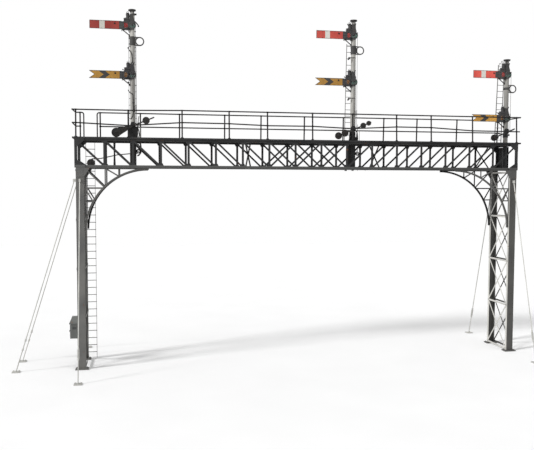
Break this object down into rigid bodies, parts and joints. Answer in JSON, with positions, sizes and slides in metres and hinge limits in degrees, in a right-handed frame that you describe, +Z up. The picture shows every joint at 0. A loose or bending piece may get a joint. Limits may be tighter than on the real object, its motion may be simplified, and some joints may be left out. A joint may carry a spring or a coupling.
{
  "type": "railway signal gantry",
  "caption": "Steel lattice girder gantry on laced legs with knee brackets and stays, carrying railed signal posts with paired moving stop and distant arms above a walkway.",
  "frame": {"origin": "on the ground, at the centre of the footprint's bounding box", "axes": "+X along the girder to the right as seen by a driver, +Y away from the driver, +Z up"},
  "size_m": [17.6668, 5.1746, 11.7503],
  "materials": {
    "girder_steel": "weathered grey paint",
    "column_steel": "weathered grey paint",
    "rail_tube": "weathered pale grey paint",
    "post_paint": "weathered white paint",
    "fitting_paint": "weathered black paint",
    "ladder_paint": "weathered grey paint",
    "lamp_paint": "weathered black paint",
    "stop_paint": "weathered red paint with a white stripe",
    "distant_paint": "weathered yellow paint with a black chevron",
    "lever_iron": "weathered black paint",
    "stay_steel": "pale galvanised steel",
    "box_paint": "weathered grey paint",
    "deck_board": "weathered boards"
  },
  "bodies": {
    "structure": {"front_top_chord": "girder_steel", "front_bottom_chord": "girder_steel", "front_web": "girder_steel", "rear_top_chord": "girder_steel", "rear_bottom_chord": "girder_steel", "rear_web": "girder_steel", "sway_frames": "girder_steel", "deck_bearers": "girder_steel", "post_bearers": "girder_steel", "end_diaphragm": "girder_steel", "corner_plates": "girder_steel", "end_posts": "girder_steel", "left_front_column": "column_steel", "left_rear_column": "column_steel", "right_front_column": "column_steel", "right_rear_column": "column_steel", "left_leg_lacing": "column_steel", "right_leg_lacing": "column_steel", "base_plates": "column_steel", "gussets": "column_steel", "left_front_knee": "column_steel", "left_rear_knee": "column_steel", "right_front_knee": "column_steel", "right_rear_knee": "column_steel", "front_handrail": "rail_tube", "rear_handrail": "rail_tube", "end_rails": "rail_tube", "deck": "deck_board", "left_stays": "stay_steel", "right_stays": "stay_steel", "access_ladder": "ladder_paint", "post_ladders": "ladder_paint", "telephone_box": "box_paint", "wire_wheel": "lever_iron", "signal_posts": "post_paint", "post_fittings": "fitting_paint", "post_castings": "fitting_paint", "post_lamps": "lamp_paint"},
    "stop_arm_1": {"stop_arm_1": "stop_paint"},
    "stop_lever_1": {"stop_lever_1": "lever_iron"},
    "stop_rod_1": {"stop_rod_1": "lever_iron"},
    "distant_arm_1": {"distant_arm_1": "distant_paint"},
    "distant_lever_1": {"distant_lever_1": "lever_iron"},
    "distant_rod_1": {"distant_rod_1": "lever_iron"},
    "stop_arm_2": {"stop_arm_2": "stop_paint"},
    "stop_lever_2": {"stop_lever_2": "lever_iron"},
    "stop_rod_2": {"stop_rod_2": "lever_iron"},
    "distant_arm_2": {"distant_arm_2": "distant_paint"},
    "distant_lever_2": {"distant_lever_2": "lever_iron"},
    "distant_rod_2": {"distant_rod_2": "lever_iron"},
    "stop_arm_3": {"stop_arm_3": "stop_paint"},
    "stop_lever_3": {"stop_lever_3": "lever_iron"},
    "stop_rod_3": {"stop_rod_3": "lever_iron"},
    "distant_arm_3": {"distant_arm_3": "distant_paint"},
    "distant_lever_3": {"distant_lever_3": "lever_iron"},
    "distant_rod_3": {"distant_rod_3": "lever_iron"}
  },
  "joints": [
    {"name": "stop_lever_1_pivot", "type": "hinge", "parent": "structure", "child": "stop_lever_1", "pos_m": [-4.9735, -0.1, 7.9403], "axis": [0, 1, 0], "range_deg": [0, 45]},
    {"name": "stop_arm_1_spindle", "type": "hinge", "parent": "structure", "child": "stop_arm_1", "pos_m": [-4.9735, -0.112, 11.26], "axis": [0, 1, 0], "range_deg": [0, 45]},
    {"name": "stop_rod_1_pin", "type": "hinge", "parent": "stop_lever_1", "child": "stop_rod_1", "pos_m": [-4.87187, -0.135, 7.9824], "axis": [0, 1, 0], "range_deg": [-45, 0]},
    {"name": "distant_lever_1_pivot", "type": "hinge", "parent": "structure", "child": "distant_lever_1", "pos_m": [-4.9735, -0.1, 7.9403], "axis": [0, 1, 0], "range_deg": [0, 45]},
    {"name": "distant_arm_1_spindle", "type": "hinge", "parent": "structure", "child": "distant_arm_1", "pos_m": [-4.9735, -0.112, 9.65], "axis": [0, 1, 0], "range_deg": [0, 45]},
    {"name": "distant_rod_1_pin", "type": "hinge", "parent": "distant_lever_1", "child": "distant_rod_1", "pos_m": [-4.91807, -0.135, 7.96326], "axis": [0, 1, 0], "range_deg": [-45, 0]},
    {"name": "stop_lever_2_pivot", "type": "hinge", "parent": "structure", "child": "stop_lever_2", "pos_m": [2.6165, -0.1, 7.9403], "axis": [0, 1, 0], "range_deg": [0, 45]},
    {"name": "stop_arm_2_spindle", "type": "hinge", "parent": "structure", "child": "stop_arm_2", "pos_m": [2.6165, -0.112, 11.235], "axis": [0, 1, 0], "range_deg": [0, 45]},
    {"name": "stop_rod_2_pin", "type": "hinge", "parent": "stop_lever_2", "child": "stop_rod_2", "pos_m": [2.71813, -0.135, 7.9824], "axis": [0, 1, 0], "range_deg": [-45, 0]},
    {"name": "distant_lever_2_pivot", "type": "hinge", "parent": "structure", "child": "distant_lever_2", "pos_m": [2.6165, -0.1, 7.9403], "axis": [0, 1, 0], "range_deg": [0, 45]},
    {"name": "distant_arm_2_spindle", "type": "hinge", "parent": "structure", "child": "distant_arm_2", "pos_m": [2.6165, -0.112, 9.63], "axis": [0, 1, 0], "range_deg": [0, 45]},
    {"name": "distant_rod_2_pin", "type": "hinge", "parent": "distant_lever_2", "child": "distant_rod_2", "pos_m": [2.67193, -0.135, 7.96326], "axis": [0, 1, 0], "range_deg": [-45, 0]},
    {"name": "stop_lever_3_pivot", "type": "hinge", "parent": "structure", "child": "stop_lever_3", "pos_m": [8.4465, -0.1, 7.9403], "axis": [0, 1, 0], "range_deg": [0, 45]},
    {"name": "stop_arm_3_spindle", "type": "hinge", "parent": "structure", "child": "stop_arm_3", "pos_m": [8.4465, -0.112, 10.06], "axis": [0, 1, 0], "range_deg": [0, 45]},
    {"name": "stop_rod_3_pin", "type": "hinge", "parent": "stop_lever_3", "child": "stop_rod_3", "pos_m": [8.54813, -0.135, 7.9824], "axis": [0, 1, 0], "range_deg": [-45, 0]},
    {"name": "distant_lever_3_pivot", "type": "hinge", "parent": "structure", "child": "distant_lever_3", "pos_m": [8.4465, -0.1, 7.9403], "axis": [0, 1, 0], "range_deg": [0, 45]},
    {"name": "distant_arm_3_spindle", "type": "hinge", "parent": "structure", "child": "distant_arm_3", "pos_m": [8.4465, -0.112, 8.49], "axis": [0, 1, 0], "range_deg": [0, 45]},
    {"name": "distant_rod_3_pin", "type": "hinge", "parent": "distant_lever_3", "child": "distant_rod_3", "pos_m": [8.50193, -0.135, 7.96326], "axis": [0, 1, 0], "range_deg": [-45, 0]}
  ],
  "couplings": [
    {"joint": "stop_arm_1_spindle", "follows": "stop_lever_1_pivot", "ratio": 1},
    {"joint": "stop_rod_1_pin", "follows": "stop_lever_1_pivot", "ratio": -1},
    {"joint": "distant_arm_1_spindle", "follows": "distant_lever_1_pivot", "ratio": 1},
    {"joint": "distant_rod_1_pin", "follows": "distant_lever_1_pivot", "ratio": -1},
    {"joint": "stop_arm_2_spindle", "follows": "stop_lever_2_pivot", "ratio": 1},
    {"joint": "stop_rod_2_pin", "follows": "stop_lever_2_pivot", "ratio": -1},
    {"joint": "distant_arm_2_spindle", "follows": "distant_lever_2_pivot", "ratio": 1},
    {"joint": "distant_rod_2_pin", "follows": "distant_lever_2_pivot", "ratio": -1},
    {"joint": "stop_arm_3_spindle", "follows": "stop_lever_3_pivot", "ratio": 1},
    {"joint": "stop_rod_3_pin", "follows": "stop_lever_3_pivot", "ratio": -1},
    {"joint": "distant_arm_3_spindle", "follows": "distant_lever_3_pivot", "ratio": 1},
    {"joint": "distant_rod_3_pin", "follows": "distant_lever_3_pivot", "ratio": -1}
  ]
}
